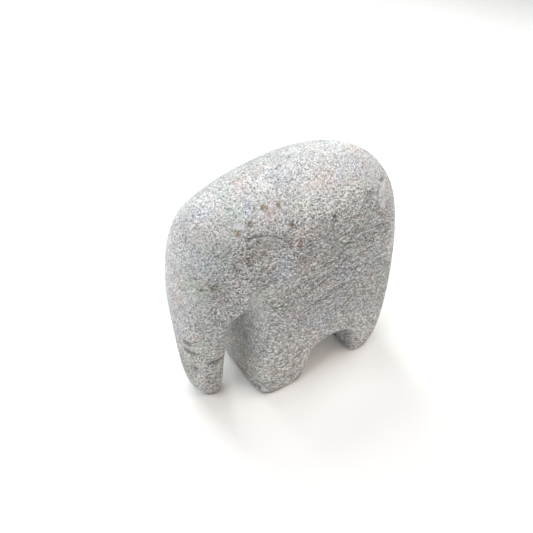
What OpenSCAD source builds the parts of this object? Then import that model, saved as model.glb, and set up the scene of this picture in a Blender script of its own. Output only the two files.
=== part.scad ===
// Carved stone elephant: one block of grained grey stone, ground round on every edge.
// The head faces +X, the flanks face +Y and -Y, and the soles stand on Z = 0.
// The origin is the middle of the footprint of the whole figure.

/* [Overall] */
// Height from the soles to the top of the back
height = 100; // [80:1:150]
// Length from the front of the face to the back of the rump
length = 96.5; // [92:0.5:120]
// Thickness across the flanks at the belly
thickness = 45; // [36:1:60]

/* [Head and trunk] */
// Thickness across the head
head_t = 34.5; // [28:0.5:44]
// Thickness across the tip of the trunk
tip_t = 19; // [14:1:26]
// Fore-and-aft length of the tip of the trunk
tip_l = 12; // [10:0.5:14]
// Length of the head, from the front of the face to the neck
head_l = 21; // [18:1:26]

/* [Legs] */
// Gap between the trunk and the foreleg
slot_w = 7.5; // [6:0.5:9]
// Height of the round top of that gap
slot_h = 50.5; // [40:0.5:56]
// Fore-and-aft length of the foreleg's sole
foreleg_l = 19; // [15:0.5:22]
// Fore-and-aft length of the hind leg's sole
hind_foot_l = 10; // [8:0.5:12]
// Height of the belly arch between the legs
arch_h = 18.5; // [14:0.5:24]

/* [Rounding] */
// How far the rounded edge of the back runs down the flank
back_round = 22; // [16:1:25]
// How far the rounded edge of the head runs across its cheek
head_round = 17; // [12:1:19]
// Depth of the ground edges on the legs, the gap and the arch
leg_round = 3.5; // [2:0.5:4]
// How much each flank swells in its middle
swell = 0.7; // [0:0.1:2]

/* [Smoothness] */
// Points on each stretch of the outline
span_steps = 4; // [2:1:5]
// Rings round each edge
edge_rings = 5; // [3:1:6]
// Rings from the rounded edge to the core line of the flank
flank_rings = 5; // [2:1:6]

/* [Hidden] */

stone_colour = [0.64, 0.64, 0.63];
face_x = length / 2;
rear_x = -length / 2;
sole_cut = 1.5;

// The trunk hangs a little behind the front of the face, and the gap and the foreleg follow it
tip_x = face_x - 10.5;
gap_r = slot_w / 2;
gap_x = tip_x - tip_l / 2 - gap_r;
fore_toe_x = gap_x - gap_r - 4;
fore_heel_x = fore_toe_x - foreleg_l;
foreleg_x = (fore_toe_x + fore_heel_x) / 2;
hind_x = rear_x + 16.75;
hind_toe_x = hind_x + hind_foot_l / 2;
hind_heel_x = hind_x - hind_foot_l / 2;
arch_x = (fore_heel_x + hind_toe_x) / 2;
neck_x = face_x - head_l;

// Core points inside the stone, one for each mass. The edges round over towards them.
core_tip = [tip_x + 0.5, 0.10 * height];
core_trunk = [tip_x + 1.5, 0.26 * height];
core_root = [tip_x + 1.5, 0.42 * height];
core_head = [neck_x + 5.5, 0.66 * height];
core_shoulder = [foreleg_x + 2, 0.62 * height];
core_belly = [arch_x + 8, 0.64 * height];
core_rump = [arch_x - 12, 0.62 * height];
core_foreleg = [foreleg_x + 1, 0.22 * height];
core_hind = [hind_x - 1, 0.20 * height];

// A point on the round top of the gap, at an angle from its front. It leans, higher at the leg.
function gap_top(angle) =
    let (across = gap_r * cos(angle))
    [gap_x + across, slot_h - gap_r + gap_r * sin(angle) - 0.5 * across];

// One row of the outline: a point, the depth of the rounded edge there, the share of the
// thickness that it takes, and the core point that it faces
function spot(x, z, depth, share, core) = [[x, z], depth, share, core];
function leg_spot(x, z, core) = spot(x, z, leg_round, 0.2, core);
function gap_spot(angle, depth, share, core) = [gap_top(angle), depth, share, core];

// The side outline, from the trunk's tip over the back to the hind leg, then forward under the belly
outline = [
    // trunk and face
    spot(tip_x + tip_l / 2, 0.025 * height, 5, 0.85, core_tip),
    spot(face_x - 1.8, 0.17 * height, 8, 0.92, core_trunk),
    spot(face_x - 0.4, 0.375 * height, 0.75 * head_round, 0.95, core_root),
    spot(face_x, 0.57 * height, 0.9 * head_round, 0.95, core_head),
    // crown, back and rump
    spot(face_x - 2.2, 0.76 * height, head_round, 0.97, core_head),
    spot(face_x - 9.5, 0.89 * height, head_round + 3, 0.97, core_head),
    spot(foreleg_x + 9.8, 0.958 * height, back_round, 0.98, core_shoulder),
    spot(arch_x + 7, height, back_round, 0.98, core_belly),
    spot(rear_x + 22, 0.968 * height, back_round, 0.98, core_rump),
    spot(rear_x + 7.9, 0.881 * height, 0.9 * back_round, 0.93, core_rump),
    spot(rear_x + 0.7, 0.723 * height, 0.77 * back_round, 0.87, core_rump),
    spot(rear_x, 0.475 * height, 0.6 * back_round, 0.72, core_hind),
    // hind leg
    spot(rear_x + 1.2, 0.2 * height, 0.36 * back_round, 0.52, core_hind),
    spot(hind_heel_x - 5, 0.045 * height, leg_round + 1, 0.3, core_hind),
    leg_spot(hind_heel_x + 1.8, -sole_cut, core_hind),
    spot(hind_toe_x, -sole_cut, leg_round + 0.5, 0.38, core_hind),
    spot(hind_toe_x - 0.3, 0.04 * height, leg_round + 0.5, 0.38, core_hind),
    // belly arch
    leg_spot(hind_toe_x + 1.2, 0.78 * arch_h, core_rump),
    leg_spot(arch_x - 2, arch_h, core_belly),
    leg_spot(fore_heel_x - 6.5, 0.88 * arch_h, core_shoulder),
    // foreleg
    leg_spot(fore_heel_x - 3.5, 0.078 * height, core_foreleg),
    leg_spot(fore_heel_x, -sole_cut, core_foreleg),
    spot(fore_toe_x, -sole_cut, 1.6 * leg_round, 0.45, core_foreleg),
    spot(fore_toe_x + 1.3, 0.07 * height, 1.8 * leg_round, 0.5, core_foreleg),
    spot(fore_toe_x + 3.2, 0.285 * height, 2 * leg_round, 0.55, core_foreleg),
    // gap behind the trunk, round at its top
    gap_spot(180, 2 * leg_round, 0.5, core_shoulder),
    gap_spot(135, 1.5 * leg_round, 0.4, core_shoulder),
    gap_spot(90, leg_round + 0.5, 0.3, core_head),
    gap_spot(40, leg_round, 0.25, core_head),
    gap_spot(-5, leg_round, 0.3, core_root),
    spot(tip_x - tip_l / 2 - 0.5, 0.23 * height, 4, 0.55, core_trunk),
    spot(tip_x - tip_l / 2, 0.04 * height, 4, 0.75, core_tip),
    spot(tip_x - 1.5, -sole_cut, 3, 0.85, core_tip),
];
anchors = len(outline);
columns = anchors * span_steps;

// A smooth step from 0 at a to 1 at b
function ease(a, b, t) = let (k = min(max((t - a) / (b - a), 0), 1)) k * k * (3 - 2 * k);

// A value part of the way from a to b
function mix(a, b, k) = a + (b - a) * k;

function unit(v) = v / norm(v);

// Coordinates on a fine grid, so that faces which meet share their points
function rounded(p) = [for (c = p) round(c * 4096) / 4096];

// A place on the curve through four points, at share t of the middle stretch
function curve(a, b, c, d, t) =
    0.5 * (2 * b + (c - a) * t + (2 * a - 5 * b + 4 * c - d) * t * t
    + (3 * b - a - 3 * c + d) * t * t * t);

function row(i) = outline[(i + anchors) % anchors];
function side_point(i, t) = curve(row(i - 1)[0], row(i)[0], row(i + 1)[0], row(i + 2)[0], t);

// Half of the thickness at a place on the flank: the head is narrower than the body, the trunk
// tapers to its tip, and the whole draws in a little towards the back. The neck is a wide blend
// above the gap, and sharpens into the gap itself below.
function half_width(x, z) =
    let (
        above = ease(slot_h - 15, slot_h + 15, z),
        middle = mix(gap_x, neck_x, above),
        blend = mix(gap_r, 11, above),
        ahead = ease(middle - blend, middle + blend, x),
        head = mix(head_t, tip_t, ease(0.6 * height, 0, z)),
        drawn_in = 1 - 0.1 * ease(0.4 * height, height, z)
    ) mix(thickness - 2 * swell, head, ahead) * drawn_in / 2;

// A column holds one place on the outline: point, way in, edge depth, edge share and core point
function column(i, t) =
    let (
        p = side_point(i, t),
        run = side_point(i, t + 0.02) - side_point(i, t - 0.02),
        core = mix(row(i)[3], row(i + 1)[3], t),
        inward = unit([run[1], -run[0]]),
        way = unit(0.6 * unit(core - p) - 0.4 * inward)
    ) [p, way, mix(row(i)[1], row(i + 1)[1], t), mix(row(i)[2], row(i + 1)[2], t), core];
places = [for (i = [0 : anchors - 1], s = [0 : span_steps - 1]) column(i, s / span_steps)];

// A point of the ground edge, at ring k, from the flat band at 0 to the flank at 90 degrees
function edge_point(c, k) =
    let (
        turn = 90 * k / edge_rings,
        p = c[0] + c[1] * c[2] * (1 - cos(turn)),
        w = half_width(p[0], p[1])
    ) [p[0], w * (1 - c[3] + c[3] * sin(turn)), p[1]];

// A point of the flank, at ring k from the edge to the core line
function flank_point(c, k) =
    let (
        edge = edge_point(c, edge_rings),
        p = mix([edge[0], edge[2]], c[4], k / flank_rings)
    ) [p[0], half_width(p[0], p[1]) + swell * ease(0, flank_rings, k), p[1]];

// The left half's rings, from the flat band to the core line, and the right half's mirror image
left_rings = [
    for (k = [0 : edge_rings]) [for (c = places) rounded(edge_point(c, k))],
    for (k = [1 : flank_rings]) [for (c = places) rounded(flank_point(c, k))],
];
rings = [
    for (k = [len(left_rings) - 1 : -1 : 0]) left_rings[k],
    for (ring = left_rings) [for (p = ring) [p[0], -p[1], p[2]]],
];
ring_points = [for (ring = rings) each ring];

// Two triangles for each cell between two rings, but one where two of its points are the same
function corner(k, i) = k * columns + i % columns;
function triangle(a, b, c) =
    ring_points[a] == ring_points[b] || ring_points[b] == ring_points[c]
    || ring_points[a] == ring_points[c] ? [] : [[a, b, c]];
skin = [
    for (k = [0 : len(rings) - 2], i = [0 : columns - 1])
        each concat(
            triangle(corner(k, i), corner(k + 1, i + 1), corner(k, i + 1)),
            triangle(corner(k, i), corner(k + 1, i), corner(k + 1, i + 1))
        )
];

// The whole figure, with its soles ground flat on Z = 0
module carved_stone() {
    color(stone_colour)
        difference() {
            polyhedron(ring_points, skin, convexity = 6);
            translate([-length, -thickness, -20])
                cube([2 * length, 2 * thickness, 20]);
        }
}

carved_stone();
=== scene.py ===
"""A carved stone elephant: one block of grained grey stone, ground round and left matt.

Lengths that shape the stone are in millimetres, as a carver gives them, and SI turns them into metres.
"""
import bmesh
import bpy
import math
from mathutils import Matrix, Vector, noise


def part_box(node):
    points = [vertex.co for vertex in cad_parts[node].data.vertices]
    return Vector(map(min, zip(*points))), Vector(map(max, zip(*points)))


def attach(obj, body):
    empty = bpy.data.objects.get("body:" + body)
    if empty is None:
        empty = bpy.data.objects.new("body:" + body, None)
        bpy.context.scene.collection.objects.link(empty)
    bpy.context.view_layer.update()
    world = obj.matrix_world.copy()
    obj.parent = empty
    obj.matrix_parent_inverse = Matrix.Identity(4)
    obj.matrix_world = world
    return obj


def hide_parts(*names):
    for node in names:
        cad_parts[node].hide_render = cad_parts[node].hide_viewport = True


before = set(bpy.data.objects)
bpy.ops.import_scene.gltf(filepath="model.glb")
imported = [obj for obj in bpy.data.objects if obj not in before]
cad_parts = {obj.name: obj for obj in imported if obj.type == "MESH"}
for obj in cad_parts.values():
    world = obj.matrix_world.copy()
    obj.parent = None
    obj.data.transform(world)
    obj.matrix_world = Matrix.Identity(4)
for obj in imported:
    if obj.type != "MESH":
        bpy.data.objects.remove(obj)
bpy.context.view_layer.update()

SI = 0.001
scene = bpy.context.scene
stone_low, stone_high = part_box("carved_stone")


def grey(value):
    return (value, value, value)


def opaque(colour):
    return (*colour, 1.0)


# ---------------------------------------------------------------- sizes of the carving

SKIN_STEP = 0.62         # spacing of the skin's points
FLATS_OUT = 24           # passes that take the mason's flats out of the whole blank
CROWN_OUT = 130          # more passes over the back and the head, which are broad rounds
CROWN_START = (52.0, 66.0)   # heights where those begin and reach their full strength
CHEEK = Vector((21.5, 71.5))     # x and z of the middle of the cheek's hollow
CHEEK_FOOT = Vector((27.0, 50.0))    # x and z of its narrow foot, at the top of the gap
CHEEK_RADII = (12.2, 3.0)    # its half width at those two places
CHEEK_DEPTH = 1.5
CHEEK_SLOPE = 5.0        # width of the slope inside the rim
GROOVE_DEPTH = 0.6       # the line cut along the rim's upper rear quarter
GROOVE_WIDTH = 0.9
RIM_SPREAD = 0.5         # how far outside the rim the slope begins
HOLLOW_FADE = (2.0, 13.0)    # how far ahead of its middle the hollow runs out into the face
GROOVE_START = (-4.0, 3.0)   # heights from the middle where the line begins and is full
GROOVE_FADE = (3.0, 9.0)     # how far ahead of the middle the line runs out
CHEEK_SIDE = (7.0, 13.0)     # how far from the middle plane a cheek begins and is full
WAVE_DEPTH = 0.2         # hand-ground unevenness
WAVE_LENGTH = 22.0
RIPPLES = ((7.0, 0.05), (1.7, 0.04))     # length and depth of the finer unevenness
PIT_SPACING = 4.1        # pores and plucked grains
PIT_DEPTH = 0.16
PIT_RADIUS = 0.12        # as a share of the spacing
NO_PIT = 0.1             # share of the cells that have none

# Chips and deep pores: the middle, the half sizes and the depth of each
CHIPS = (
    ((-7.2, 19.3, 82.4), (0.9, 5.0, 1.8), 0.6),
    ((39.2, 14.0, 67.1), (1.0, 5.0, 0.9), 0.35),
    ((41.6, 12.8, 66.3), (0.9, 5.0, 0.9), 0.35),
    ((46.3, 7.0, 36.3), (1.1, 5.0, 1.0), 0.35),
    ((46.3, 6.0, 30.2), (1.0, 5.0, 0.9), 0.35),
    ((21.5, 17.5, 3.5), (1.4, 4.0, 1.5), 0.60),
)

# Stains and odd minerals, and patches of painted warm light from the floor low down: the kind, the
# middle and the half sizes of each
STAINS_AND_BOUNCE_LIGHT = (
    ("slate", (39.5, 11.0, 77.5), (7.0, 9.0, 6.0)),
    ("slate", (23.9, 10.3, 91.0), (6.0, 8.0, 5.0)),
    ("slate", (6.3, 6.6, 97.3), (9.0, 8.0, 5.0)),
    ("slate", (16.0, 15.0, 88.5), (7.0, 8.0, 6.0)),
    ("slate", (12.5, 20.3, 69.0), (4.0, 7.0, 9.0)),
    ("moss", (28.0, 10.0, 89.8), (5.0, 7.0, 4.5)),
    ("moss", (44.2, 10.0, 67.6), (5.0, 9.0, 6.0)),
    ("moss", (18.9, 20.3, 60.3), (7.0, 8.0, 5.0)),
    ("moss", (3.7, 16.4, 89.1), (7.0, 8.0, 5.0)),
    ("rose", (16.0, 15.0, 88.6), (4.0, 5.0, 3.6)),
    ("rose", (7.3, 20.1, 77.4), (2.6, 5.0, 2.6)),
    ("rose", (6.4, 21.0, 69.3), (2.2, 5.0, 2.8)),
    ("rose", (-4.9, 22.0, 54.1), (3.4, 5.0, 2.3)),
    ("rose", (47.7, 4.0, 58.2), (2.0, 6.0, 4.0)),
    ("rose", (20.5, 1.4, 95.5), (3.0, 5.0, 3.0)),
    ("rose", (-22.0, 19.0, 78.0), (2.4, 5.0, 2.0)),
    ("quartz", (-32.6, 15.6, 84.8), (2.5, 5.0, 2.5)),
    ("quartz", (-31.2, 18.4, 79.9), (2.9, 5.0, 3.0)),
    ("quartz", (27.2, 12.1, 87.0), (3.0, 4.0, 1.4)),
    ("rust", (27.7, 12.3, 85.5), (1.9, 4.0, 1.7)),
    ("rust", (23.5, 13.4, 87.6), (1.7, 4.0, 1.6)),
    ("rust", (17.3, 12.5, 91.1), (1.6, 4.0, 1.6)),
    ("rust", (12.6, 13.5, 91.2), (1.6, 4.0, 1.6)),
    ("rust", (9.7, 18.0, 85.0), (2.1, 4.0, 1.6)),
    ("rust", (38.1, 14.6, 67.0), (1.9, 4.0, 1.4)),
    ("mica", (41.6, 12.8, 66.3), (1.3, 4.0, 1.3)),
    ("mica", (46.3, 7.0, 36.3), (1.8, 4.0, 2.2)),
    ("mica", (-7.2, 19.3, 82.4), (1.1, 4.0, 2.3)),
    ("mica", (-24.6, 17.5, 85.5), (3.6, 5.0, 1.3)),
    ("mica", (-33.5, 14.5, 86.8), (3.0, 5.0, 1.0)),
    ("mica", (37.0, 12.5, 26.5), (9.0, 9.0, 1.8)),
    ("mica", (45.7, 7.8, 31.5), (5.0, 6.0, 2.3)),
    ("mica", (44.5, 8.0, 22.0), (1.6, 4.0, 2.4)),
    ("mica", (21.5, 17.5, 3.5), (1.8, 4.0, 1.6)),
    ("worn", (18.5, 17.0, 79.5), (7.0, 7.0, 4.0)),
    ("worn", (24.0, 17.0, 58.0), (4.0, 7.0, 7.0)),
    ("worn", (-6.0, 22.0, 68.0), (7.0, 7.0, 3.5)),
    # Painted light: a warm tint low on the figure, standing in for warm light thrown up from the floor
    ("floor_bounce", (40.0, 4.0, 24.0), (34.0, 26.0, 36.0)),
    ("floor_bounce", (14.0, 12.0, 12.0), (26.0, 24.0, 34.0)),
)

# Long scratches left by the grinding, on the left flank: x and z of both ends of each
SCRATCHES = (
    ((5.4, 45.7), (-8.3, 46.7)),
    ((3.4, 44.0), (-4.6, 45.3)),
    ((4.7, 53.2), (-7.0, 57.1)),
    ((-8.8, 50.2), (-19.8, 49.6)),
    ((-7.5, 48.6), (-15.0, 48.9)),
    ((-10.4, 60.4), (-14.8, 63.3)),
    ((-4.4, 64.4), (-11.0, 63.9)),
    ((-15.1, 35.6), (-19.9, 40.8)),
    ((2.1, 69.2), (-1.4, 70.4)),
    ((-16.8, 55.6), (-20.7, 56.4)),
)

# Painted shade along the groove on the upper rear rim of the cheek's hollow, as points in x and z
CHEEK_GROOVE_SHADE = ((26.0, 82.7), (23.1, 83.5), (17.9, 82.9), (12.6, 80.4), (10.2, 76.6), (9.6, 73.0))

# Paler and darker patches: the middle, the half sizes and the strength of each. Some are beds in the
# stone;
# others are painted light and painted shade that even out what the lamps leave too bright or too dark.
BEDS_AND_PAINTED_LIGHT = (
    # Paler along the near rounding of the back
    ((-8.0, 17.0, 91.0), (28.0, 12.0, 12.0), 0.20),
    ((44.0, 4.0, 70.0), (12.0, 14.0, 22.0), 0.10),
    ((27.0, 17.0, 77.0), (11.0, 10.0, 8.0), -0.13),
    ((14.0, 14.0, 90.0), (9.0, 9.0, 6.0), 0.08),
    ((12.5, 20.3, 68.0), (5.0, 8.0, 12.0), 0.20),
    ((-2.0, 22.0, 66.0), (28.0, 14.0, 14.0), -0.03),
    # Painted shade: darkens the far ridge of the back, which the back light leaves too bright
    ((14.0, -10.0, 97.0), (46.0, 18.0, 15.0), -0.24),
    # Painted shade: darkens the far side of the head's top, which the back light leaves too bright
    ((37.0, -6.0, 88.0), (14.0, 14.0, 10.0), -0.10),
    # Painted light: paler low on the near side, standing in for light thrown up from the floor
    ((0.0, 32.0, 6.0), (70.0, 22.0, 44.0), 0.36),
    # Painted shade: darkens the whole far flank, which faces the back lamps
    ((0.0, -30.0, 70.0), (70.0, 28.0, 70.0), -0.12),
    ((35.0, 14.0, 67.0), (12.0, 8.0, 7.0), -0.16),
    ((41.5, 13.5, 49.0), (6.0, 7.0, 8.0), -0.06),
    # Painted shade: darkens the front face of the foreleg, the inner wall of the gap, which the lamps
    # leave too bright
    ((21.5, 14.0, 26.0), (6.0, 14.0, 22.0), -0.14),
    ((18.0, 19.0, 5.0), (7.0, 7.0, 8.0), -0.14),
    ((46.0, 2.0, 17.0), (6.0, 8.0, 12.0), -0.18),
    ((-38.0, 20.0, 16.0), (14.0, 14.0, 18.0), 0.12),
    ((-41.0, 18.0, 55.0), (12.0, 14.0, 32.0), 0.11),
)


# ---------------------------------------------------------------- the stone's minerals

FINE_GRAIN = 3.5         # grains per millimetre
COARSE_GRAIN = 2.0
MICA_GRAIN = 2.3
GRAIN_TONES = (
    (0.0, grey(0.11)),
    (0.22, grey(0.33)),
    (0.42, grey(0.56)),
    (0.60, grey(0.71)),
    (0.80, grey(0.86)),
    (1.0, grey(1.0)),
)
OPEN_GRAIN_TONES = (
    (0.0, grey(0.01)),
    (0.22, grey(0.17)),
    (0.42, grey(0.49)),
    (0.60, grey(0.75)),
    (0.80, grey(1.0)),
    (1.0, grey(1.0)),
)
FINE_SHARE = 0.6         # how much of the tone comes from the fine grains
MICA_TONE = 0.08
MICA_SHARE = 0.55        # how strongly a mica grain darkens its place
GRAIN_WARP = 0.35        # how far the grains' outlines are bent
LEGS_START = (58.0, 34.0)    # heights where the open grain of the legs begins and is full
FLANK_FACING = (0.75, 0.98)  # how squarely the skin faces sideways where the flanks begin and are full
SCRATCH_WIDTH = 0.50     # half width of a long scratch
SCRATCH_STRENGTH = 0.75
# strength of the painted shade along the cheek's groove
CHEEK_GROOVE_SHADE_STRENGTH = 0.45
SCRATCH_BEND = 1.2       # how far a long scratch wanders up and down
FINE_MARKS = 0.8         # strength of the fine grinding marks
MARK_DARKNESS = 0.78
HAIR = 0.32              # strength of the fine streaks on the flanks
RAGGED = 3.0             # how far a stain's outline wanders
BUMP_DEPTH = 0.30        # depth of the open grain

# Each kind of stain, and the painted warm light from the floor: how it lies over the grain, how
# strongly, and its tint
STAIN_KINDS_AND_BOUNCE_LIGHT = {
    "quartz": ("MIX", 0.75, (0.87, 0.87, 0.93)),
    "worn": ("MIX", 0.38, (0.58, 0.57, 0.55)),
    "rust": ("MULTIPLY", 1.0, (0.50, 0.37, 0.27)),
    "rose": ("MULTIPLY", 1.0, (1.01, 0.87, 0.855)),
    "mica": ("MULTIPLY", 1.0, (0.44, 0.43, 0.42)),
    "slate": ("MULTIPLY", 1.0, (0.97, 0.99, 1.04)),
    "moss": ("MULTIPLY", 1.0, (0.99, 1.02, 0.97)),
    # Painted warm light from the floor, not a stain
    "floor_bounce": ("MULTIPLY", 1.0, (1.02, 0.995, 0.965)),
}

# The kinds that lie as flecks between the grains
FLECKED = ("rust", "rose", "slate", "moss")

# Broad tints: a seed, how many to a millimetre, and the tint
TINTS = (
    (11.0, 0.10, (0.95, 0.97, 1.03)),
    (47.0, 0.09, (0.96, 1.01, 0.97)),
    (83.0, 0.13, (1.05, 0.97, 0.95)),
)


# ---------------------------------------------------------------- sizes of the studio

LAMP_SIZE = 0.45         # metres
LAMP_DISTANCE = 0.9
LAMP_RISE = 55.0         # degrees over the floor
LOW_RISE = 22.0
FLOOR_REACH = 3.0        # metres from its middle to each side
WALL_RADIUS = 0.95
PAPER = (0.90, 0.897, 0.885)
WALL_TONE = 0.88
VIEW_AZIMUTH = 145.9     # degrees
VIEW_RISE = 41.2
VIEW_TILT = 2.2
VIEW_ANGLE = 54.0
VIEW_AIM = (7.2, 0.0, 51.9)  # millimetres
VIEW_DISTANCE = 206.3
SENSOR = 36.0


def ease(low, high, value):
    """A smooth step from 0 at low to 1 at high."""
    share = min(max((value - low) / (high - low), 0.0), 1.0)
    return share * share * (3.0 - 2.0 * share)


# ---------------------------------------------------------------- the stone's shape


def applied_mesh(piece, name):
    """The piece's mesh with its modifiers applied, and the piece removed."""
    bpy.context.view_layer.update()
    depsgraph = bpy.context.evaluated_depsgraph_get()
    mesh = bpy.data.meshes.new_from_object(piece.evaluated_get(depsgraph))
    mesh.name = name
    bpy.data.objects.remove(piece)
    return mesh


def blank_object(mesh):
    blank = bpy.data.objects.new("ground_blank", mesh)
    scene.collection.objects.link(blank)
    return blank


def ground_blank():
    """The whole figure as one welded skin of even squares, with the flats ground out of it."""
    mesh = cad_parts["carved_stone"].data.copy()
    weld = bmesh.new()
    weld.from_mesh(mesh)
    bmesh.ops.remove_doubles(weld, verts=weld.verts, dist=0.01 * SI)
    weld.to_mesh(mesh)
    weld.free()
    mesh.materials.clear()
    blank = blank_object(mesh)
    even = blank.modifiers.new("even skin", "REMESH")
    even.mode = "VOXEL"
    even.voxel_size = SKIN_STEP * SI
    blank = blank_object(applied_mesh(blank, "even_skin"))
    crown = blank.vertex_groups.new(name="crown")
    for vert in blank.data.vertices:
        crown.add([vert.index], ease(*CROWN_START, vert.co.z / SI), "REPLACE")
    for name, passes, group in (("ground round", FLATS_OUT, ""), ("crown", CROWN_OUT, "crown")):
        smooth = blank.modifiers.new(name, "SMOOTH")
        smooth.factor = 0.5
        smooth.iterations = passes
        smooth.vertex_group = group
    return applied_mesh(blank, "stone_skin")


def cheek_cut(place):
    """Depth of the drop-shaped hollow of each cheek, and of the line cut along its rim."""
    spot = Vector((place.x, place.z))
    run = CHEEK_FOOT - CHEEK
    share = min(max((spot - CHEEK).dot(run) / run.length_squared, 0.0), 1.0)
    radius = CHEEK_RADII[0] + (CHEEK_RADII[1] - CHEEK_RADII[0]) * ease(0.0, 0.8, share)
    inside = radius - (spot - CHEEK - run * share).length
    across, rise = spot - CHEEK
    hollow = CHEEK_DEPTH * ease(-RIM_SPREAD, CHEEK_SLOPE, inside) * (1.0 - ease(*HOLLOW_FADE, across))
    groove = GROOVE_DEPTH * (1.0 - ease(0.0, GROOVE_WIDTH, abs(inside)))
    upper_rear = ease(*GROOVE_START, rise) * (1.0 - ease(*GROOVE_FADE, across))
    beside = ease(*CHEEK_SIDE, abs(place.y))
    return beside * (hollow + groove * upper_rear)


def pit(place):
    """Depth of the pore or plucked grain at this place. Most of the cells have one."""
    distances, centres = noise.voronoi(place / PIT_SPACING)
    chance = noise.cell(centres[0] * 7.31)
    if chance < NO_PIT:
        return 0.0
    radius = PIT_RADIUS * (1.0 + chance)
    return PIT_DEPTH * (0.5 + chance) * (1.0 - ease(0.0, radius, distances[0]))


def chip(place):
    """Depth of the chips and deep pores at this place, which both flanks have."""
    beside = Vector((place.x, abs(place.y), place.z))
    depth = 0.0
    for middle, size, deepest in CHIPS:
        away = beside - Vector(middle)
        reach = Vector((away.x / size[0], away.y / size[1], away.z / size[2])).length
        depth += deepest * (1.0 - ease(0.0, 1.0, reach))
    return depth


def relief(place):
    """How far the skin lies below the ground blank at this place."""
    waves = 0.5 * WAVE_DEPTH * (1.0 - noise.noise(place / WAVE_LENGTH))
    ripples = sum(depth * noise.noise(place / length) for length, depth in RIPPLES)
    return waves + ripples + cheek_cut(place) + pit(place) + chip(place)


def carve(mesh):
    """Works the relief into the skin, keeps the soles flat, and keeps the stone inside its block."""
    depths = [relief(vert.co / SI) * SI for vert in mesh.vertices]
    ways = [vert.normal.copy() for vert in mesh.vertices]
    for vert, depth, way in zip(mesh.vertices, depths, ways):
        place = vert.co - way * depth
        place.z = max(place.z, stone_low.z)
        vert.co = place
    for polygon in mesh.polygons:
        polygon.use_smooth = True
    mesh.update()
    return mesh


# ---------------------------------------------------------------- the stone's material


class Shader:
    """A material's node tree, with short calls that place and join its nodes."""

    def __init__(self, tree):
        self.tree = tree

    def node(self, kind, inputs=(), **settings):
        made = self.tree.nodes.new(kind)
        for name, value in settings.items():
            setattr(made, name, value)
        for socket, value in dict(inputs).items():
            self.put(made.inputs[socket], value)
        return made

    def put(self, socket, value):
        if isinstance(value, bpy.types.NodeSocket):
            self.tree.links.new(value, socket)
        else:
            socket.default_value = value

    def math(self, operation, *values):
        made = self.tree.nodes.new("ShaderNodeMath")
        made.operation = operation
        for socket, value in zip(made.inputs, values):
            self.put(socket, value)
        return made.outputs[0]

    def scaled(self, vector, x, y, z):
        """The vector stretched along each axis."""
        made = self.node("ShaderNodeVectorMath", {0: vector, 1: (x, y, z)}, operation="MULTIPLY")
        return made.outputs[0]

    def moved(self, operation, first, second):
        """Two vectors put together by a vector operation."""
        return self.node("ShaderNodeVectorMath", {0: first, 1: second}, operation=operation).outputs[0]

    def noise(self, vector, scale, detail=2.0, roughness=0.5, output="Fac"):
        sockets = {"Vector": vector, "Scale": scale, "Detail": detail, "Roughness": roughness}
        return self.node("ShaderNodeTexNoise", sockets).outputs[output]

    def crystals(self, vector, scale):
        """A different number from 0 to 1 in each mineral grain."""
        grain = self.node("ShaderNodeTexVoronoi", {"Vector": vector, "Scale": scale})
        return self.node("ShaderNodeSeparateColor", {0: grain.outputs["Color"]}).outputs[0]

    def ramp(self, value, stops):
        made = self.node("ShaderNodeValToRGB", {0: value})
        elements = made.color_ramp.elements
        while len(elements) < len(stops):
            elements.new(1.0)
        for element, (position, colour) in zip(elements, stops):
            element.position = position
            element.color = (*colour, 1.0)
        return made.outputs[0]

    def span(self, value, low, high, to_low=0.0, to_high=1.0):
        """The value from low to high, carried smoothly over to the second range."""
        sockets = {0: value, 1: low, 2: high, 3: to_low, 4: to_high}
        return self.node("ShaderNodeMapRange", sockets, interpolation_type="SMOOTHSTEP").outputs[0]

    def blend(self, share, below, above, kind="MIX"):
        """Two colours, the second laid over the first."""
        made = self.node("ShaderNodeMix", data_type="RGBA", blend_type=kind)
        for index, value in ((0, share), (6, below), (7, above)):
            self.put(made.inputs[index], value)
        return made.outputs[2]


def spot_group():
    """A node group: how far a place lies inside one spot, from 0 outside to 1 in its middle."""
    group = bpy.data.node_groups.new("spot_mask", "ShaderNodeTree")
    for name in ("Place", "Middle", "Size"):
        group.interface.new_socket(name, in_out="INPUT", socket_type="NodeSocketVector")
    group.interface.new_socket("Mask", in_out="OUTPUT", socket_type="NodeSocketFloat")
    make = Shader(group)
    given = make.node("NodeGroupInput").outputs
    away = make.moved("SUBTRACT", given["Place"], given["Middle"])
    share = make.moved("DIVIDE", away, given["Size"])
    reach = make.node("ShaderNodeVectorMath", {0: share}, operation="LENGTH").outputs["Value"]
    make.node("NodeGroupOutput", {"Mask": make.span(reach, 1.0, 0.25)})
    return group


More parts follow.
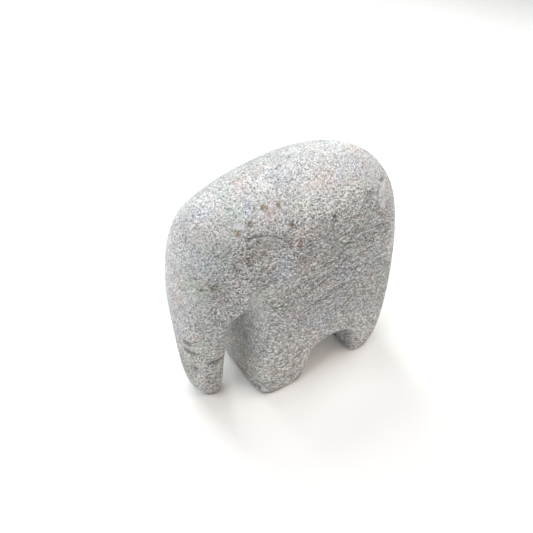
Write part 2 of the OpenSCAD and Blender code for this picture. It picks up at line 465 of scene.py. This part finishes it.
def scratch_and_shade_line_group():
    """A node group: how near a place on the flank lies to one straight line, from 0 to 1. It draws the
    long scratches and the painted shade along the cheek's groove.
    """
    group = bpy.data.node_groups.new("scratch_and_shade_line", "ShaderNodeTree")
    for name in ("Place", "Start", "End"):
        group.interface.new_socket(name, in_out="INPUT", socket_type="NodeSocketVector")
    group.interface.new_socket("Mask", in_out="OUTPUT", socket_type="NodeSocketFloat")
    make = Shader(group)
    given = make.node("NodeGroupInput").outputs
    away = make.moved("SUBTRACT", make.scaled(given["Place"], 1.0, 0.0, 1.0), given["Start"])
    run = make.moved("SUBTRACT", given["End"], given["Start"])
    along = make.node("ShaderNodeVectorMath", {0: away, 1: run}, operation="DOT_PRODUCT")
    whole = make.node("ShaderNodeVectorMath", {0: run, 1: run}, operation="DOT_PRODUCT")
    share = make.math("DIVIDE", along.outputs["Value"], whole.outputs["Value"])
    share = make.node("ShaderNodeClamp", {0: share}).outputs[0]
    nearest = make.node("ShaderNodeVectorMath", {0: run, "Scale": share}, operation="SCALE")
    off = make.moved("SUBTRACT", away, nearest.outputs[0])
    distance = make.node("ShaderNodeVectorMath", {0: off}, operation="LENGTH").outputs["Value"]
    make.node("NodeGroupOutput", {"Mask": make.span(distance, SCRATCH_WIDTH, 0.0)})
    return group


def grouped(make, group, **sockets):
    """The mask that a node group gives for these inputs."""
    made = make.tree.nodes.new("ShaderNodeGroup")
    made.node_tree = group
    for name, value in sockets.items():
        make.put(made.inputs[name], value)
    return made.outputs["Mask"]


def stone_grains(make, place, beside):
    """The tone of fine speckled stone: dark mica, grey feldspar and pale quartz in two sizes.

    The flanks and the legs have the more open grain, so their dark and pale grains stand out.
    """
    bends = make.scaled(make.noise(place, 1.4, output="Color"), *grey(GRAIN_WARP))
    warped = make.moved("ADD", place, bends)
    fine = make.crystals(warped, FINE_GRAIN)
    coarse = make.crystals(warped, COARSE_GRAIN)
    fine_part = make.math("MULTIPLY", fine, FINE_SHARE)
    mixed = make.math("ADD", fine_part, make.math("MULTIPLY", coarse, 1.0 - FINE_SHARE))
    low = make.span(make.node("ShaderNodeSeparateXYZ", {0: place}).outputs[2], *LEGS_START)
    opened = make.math("MAXIMUM", beside, low)
    tones = make.blend(opened, make.ramp(mixed, GRAIN_TONES), make.ramp(mixed, OPEN_GRAIN_TONES))
    mica = make.span(make.crystals(make.moved("ADD", warped, grey(31.0)), MICA_GRAIN), 0.10, 0.05)
    mica = make.math("MULTIPLY", mica, MICA_SHARE)
    return make.blend(mica, tones, opaque(grey(MICA_TONE))), fine


def groove_shade_and_grinding_marks(make, place, beside):
    """Fine and long scratches along the flanks, and painted shade along the groove on the cheek, from 0
    to 1.
    """
    wander = make.scaled(make.noise(place, 0.06, output="Color"), 0.0, 0.0, 6.0)
    level = make.scaled(make.moved("ADD", place, wander), 0.16, 0.4, 1.7)
    fine_lines = make.span(make.noise(level, 1.0, 3.0, 0.65), 0.52, 0.72)
    patches = make.span(make.noise(place, 0.07, 1.0), 0.38, 0.62)
    marks = make.math("MULTIPLY", fine_lines, make.math("MULTIPLY", patches, beside))
    marks = make.math("MULTIPLY", marks, FINE_MARKS)
    group = scratch_and_shade_line_group()
    bent = make.scaled(make.noise(place, 0.25, output="Color"), 0.0, 0.0, SCRATCH_BEND)
    bent = make.moved("SUBTRACT", bent, (0.0, 0.0, SCRATCH_BEND / 2))
    bent = make.moved("ADD", place, bent)
    across = make.node("ShaderNodeSeparateXYZ", {0: place}).outputs[1]
    left_flank = make.span(across, 0.0, 9.0, 0.0, SCRATCH_STRENGTH)
    lines = [(ends, left_flank) for ends in SCRATCHES]
    # Painted shade along the groove on the cheek's rim
    lines += [(ends, CHEEK_GROOVE_SHADE_STRENGTH) for ends in zip(CHEEK_GROOVE_SHADE, CHEEK_GROOVE_SHADE[1:])]
    for (start, end), strength in lines:
        ends = {"Start": (start[0], 0.0, start[1]), "End": (end[0], 0.0, end[1])}
        line = grouped(make, group, Place=bent, **ends)
        marks = make.math("MAXIMUM", marks, make.math("MULTIPLY", line, strength))
    return marks


def stone_material():
    """Fine speckled grey stone with beds, stains and the marks of grinding, with painted light and
    shade laid into its colour: patches that even out the lamps, warm light from the floor low down, and
    shade along the cheek's groove.
    """
    material = bpy.data.materials.new("speckled_grey_stone")
    material.use_nodes = True
    tree = material.node_tree
    tree.nodes.clear()
    make = Shader(tree)
    texture = make.node("ShaderNodeTexCoord").outputs
    place = make.scaled(texture["Object"], *grey(1.0 / SI))
    normal = make.node("ShaderNodeSeparateXYZ", {0: texture["Normal"]}).outputs
    beside = make.span(make.math("ABSOLUTE", normal[1]), *FLANK_FACING)

    grains, fine = stone_grains(make, place, beside)
    tone = make.span(make.noise(place, 0.16, 3.0, 0.6), 0.3, 0.7, 0.93, 1.07)
    mask_group = spot_group()
    ragged = make.scaled(make.noise(place, 0.5, 3.0, 0.6, output="Color"), *grey(RAGGED))
    ragged = make.moved("ADD", place, make.moved("SUBTRACT", ragged, grey(RAGGED / 2)))
    # Paler and darker patches, some of them painted light and painted shade
    for middle, size, strength in BEDS_AND_PAINTED_LIGHT:
        mask = grouped(make, mask_group, Place=ragged, Middle=middle, Size=size)
        tone = make.math("MULTIPLY", tone, make.math("MULTIPLY_ADD", mask, strength, 1.0))
    marks = groove_shade_and_grinding_marks(make, place, beside)
    tone = make.math("MULTIPLY", tone, make.math("MULTIPLY_ADD", marks, -MARK_DARKNESS, 1.0))
    hair = make.noise(make.scaled(place, 0.45, 1.0, 1.9), 1.0, 2.0, 0.7)
    hair = make.math("MULTIPLY", make.span(hair, 0.3, 0.7, -HAIR, HAIR), beside)
    tone = make.math("MULTIPLY", tone, make.math("ADD", hair, 1.0))
    even = make.node("ShaderNodeCombineColor", {0: tone, 1: tone, 2: tone}).outputs[0]
    colour = make.blend(1.0, grains, even, "MULTIPLY")

    # Soft patches of blue-grey, green-grey and rose, a finger's width across
    for seed, scale, tint in TINTS:
        shifted = make.moved("ADD", place, (seed, 2.0 * seed, -seed))
        patch = make.span(make.noise(shifted, scale, 2.0, 0.6), 0.52, 0.72)
        colour = make.blend(patch, colour, opaque(tint), "MULTIPLY")

    flecks = make.span(make.noise(place, 1.1, 2.0, 0.6), 0.36, 0.52, 0.25, 1.0)
    # Stains and minerals, and the painted warm light from the floor low down
    for kind, middle, size in STAINS_AND_BOUNCE_LIGHT:
        mask = grouped(make, mask_group, Place=ragged, Middle=middle, Size=size)
        if kind in FLECKED:
            mask = make.math("MULTIPLY", mask, flecks)
        laid, strength, tint = STAIN_KINDS_AND_BOUNCE_LIGHT[kind]
        colour = make.blend(make.math("MULTIPLY", mask, strength), colour, opaque(tint), laid)

    roughness = make.span(fine, 0.0, 1.0, 0.92, 0.68)
    shader = make.node("ShaderNodeBsdfPrincipled", {"Base Color": colour, "Roughness": roughness})
    shader.inputs["Specular IOR Level"].default_value = 0.3
    skin = make.math("MULTIPLY", make.noise(place, 1.9, 3.0, 0.65), 0.75)
    height = make.math("ADD", skin, make.math("MULTIPLY", fine, 0.25))
    height = make.math("SUBTRACT", height, marks)
    bump = make.node("ShaderNodeBump", {"Height": height, "Strength": 1.0, "Distance": BUMP_DEPTH * SI})
    tree.links.new(bump.outputs[0], shader.inputs["Normal"])
    surface = make.node("ShaderNodeOutputMaterial", {"Surface": shader.outputs[0]})
    surface.is_active_output = True
    return material


def carved_stone():
    """The finished stone, which stands for the whole CAD figure."""
    mesh = carve(ground_blank())
    mesh.materials.append(stone_material())
    stone = bpy.data.objects.new("stone_elephant", mesh)
    scene.collection.objects.link(stone)
    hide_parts("carved_stone")
    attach(stone, "root")
    return stone


# ---------------------------------------------------------------- the studio


def studio_floor():
    """A wide white sheet under the stone."""
    sheet = bmesh.new()
    bmesh.ops.create_grid(sheet, x_segments=8, y_segments=8, size=FLOOR_REACH)
    mesh = bpy.data.meshes.new("floor")
    sheet.to_mesh(mesh)
    sheet.free()
    floor = bpy.data.objects.new("studio_floor", mesh)
    scene.collection.objects.link(floor)
    paper = bpy.data.materials.new("white_paper")
    paper.use_nodes = True
    shader = paper.node_tree.nodes["Principled BSDF"]
    shader.inputs["Base Color"].default_value = opaque(PAPER)
    shader.inputs["Roughness"].default_value = 0.9
    shader.inputs["Specular IOR Level"].default_value = 0.1
    mesh.materials.append(paper)


def backdrop():
    """A pale round wall behind everything. It throws no light or shadow on the stone."""
    ball = bmesh.new()
    bmesh.ops.create_uvsphere(ball, u_segments=64, v_segments=32, radius=WALL_RADIUS)
    for face in ball.faces:
        face.smooth = True
    mesh = bpy.data.meshes.new("backdrop")
    ball.to_mesh(mesh)
    ball.free()
    wall = bpy.data.objects.new("backdrop", mesh)
    scene.collection.objects.link(wall)
    wall.visible_diffuse = False
    wall.visible_glossy = False
    wall.visible_transmission = False
    wall.visible_shadow = False
    paint = bpy.data.materials.new("pale_wall")
    paint.use_nodes = True
    tree = paint.node_tree
    tree.nodes.clear()
    make = Shader(tree)
    glow = make.node("ShaderNodeEmission", {"Color": opaque(grey(WALL_TONE)), "Strength": 1.0})
    make.node("ShaderNodeOutputMaterial", {"Surface": glow.outputs[0]})
    mesh.materials.append(paint)


def soft_box(name, azimuth, rise, watts, colour):
    """A square lamp that looks at the stone from this azimuth and this rise over the floor."""
    lamp = bpy.data.lights.new(name, "AREA")
    lamp.size = LAMP_SIZE
    lamp.energy = watts
    lamp.color = colour
    holder = bpy.data.objects.new(name, lamp)
    middle = (stone_low + stone_high) / 2
    back = direction(azimuth, rise)
    holder.location = middle + back * LAMP_DISTANCE
    holder.rotation_mode = "QUATERNION"
    holder.rotation_quaternion = (-back).to_track_quat("-Z", "Y")
    scene.collection.objects.link(holder)


def direction(azimuth, elevation):
    """From the stone towards a viewer at this azimuth and elevation, in degrees."""
    turn, rise = math.radians(azimuth), math.radians(elevation)
    return Vector((math.sin(turn) * math.cos(rise), -math.cos(turn) * math.cos(rise), math.sin(rise)))


def studio_light():
    """Soft boxes all round the stone, and two low ones that shine through its gaps from behind."""
    world = bpy.data.worlds.new("dark_room")
    world.use_nodes = True
    world.node_tree.nodes["Background"].inputs["Strength"].default_value = 0.0
    scene.world = world
    soft_box("back_light", 0.0, LAMP_RISE, 4.1, (0.90, 0.97, 1.0))
    soft_box("low_back_light", 0.0, LOW_RISE, 3.4, (1.0, 0.985, 0.95))
    soft_box("low_front_light", 45.0, LOW_RISE, 1.1, (1.0, 0.99, 0.97))
    soft_box("face_light", 90.0, LAMP_RISE, 4.65, (0.95, 0.99, 1.0))
    soft_box("side_light", 225.0, LAMP_RISE, 2.65, (1.0, 0.82, 0.72))
    soft_box("tail_light", 270.0, LAMP_RISE, 3.7, (0.94, 0.99, 1.0))
    scene.view_settings.view_transform = "Standard"


def viewpoint():
    """The camera, close to the stone and above it, over its left shoulder."""
    lens = bpy.data.cameras.new("viewpoint")
    lens.sensor_width = SENSOR
    lens.lens = SENSOR / 2 / math.tan(math.radians(VIEW_ANGLE / 2))
    lens.clip_start = 0.01
    lens.clip_end = 20.0
    camera = bpy.data.objects.new("viewpoint", lens)
    turn = math.radians(VIEW_AZIMUTH)
    tilt = math.radians(VIEW_TILT)
    back = direction(VIEW_AZIMUTH, VIEW_RISE)
    right = Vector((math.cos(turn), math.sin(turn), 0.0))
    up = back.cross(right)
    tilted_right = right * math.cos(tilt) + up * math.sin(tilt)
    tilted_up = up * math.cos(tilt) - right * math.sin(tilt)
    place = Vector(VIEW_AIM) * SI + back * VIEW_DISTANCE * SI
    turned = Matrix((tilted_right, tilted_up, back)).transposed().to_4x4()
    camera.matrix_world = Matrix.Translation(place) @ turned
    scene.collection.objects.link(camera)
    scene.camera = camera


viewpoint()
carved_stone()
studio_floor()
backdrop()
studio_light()
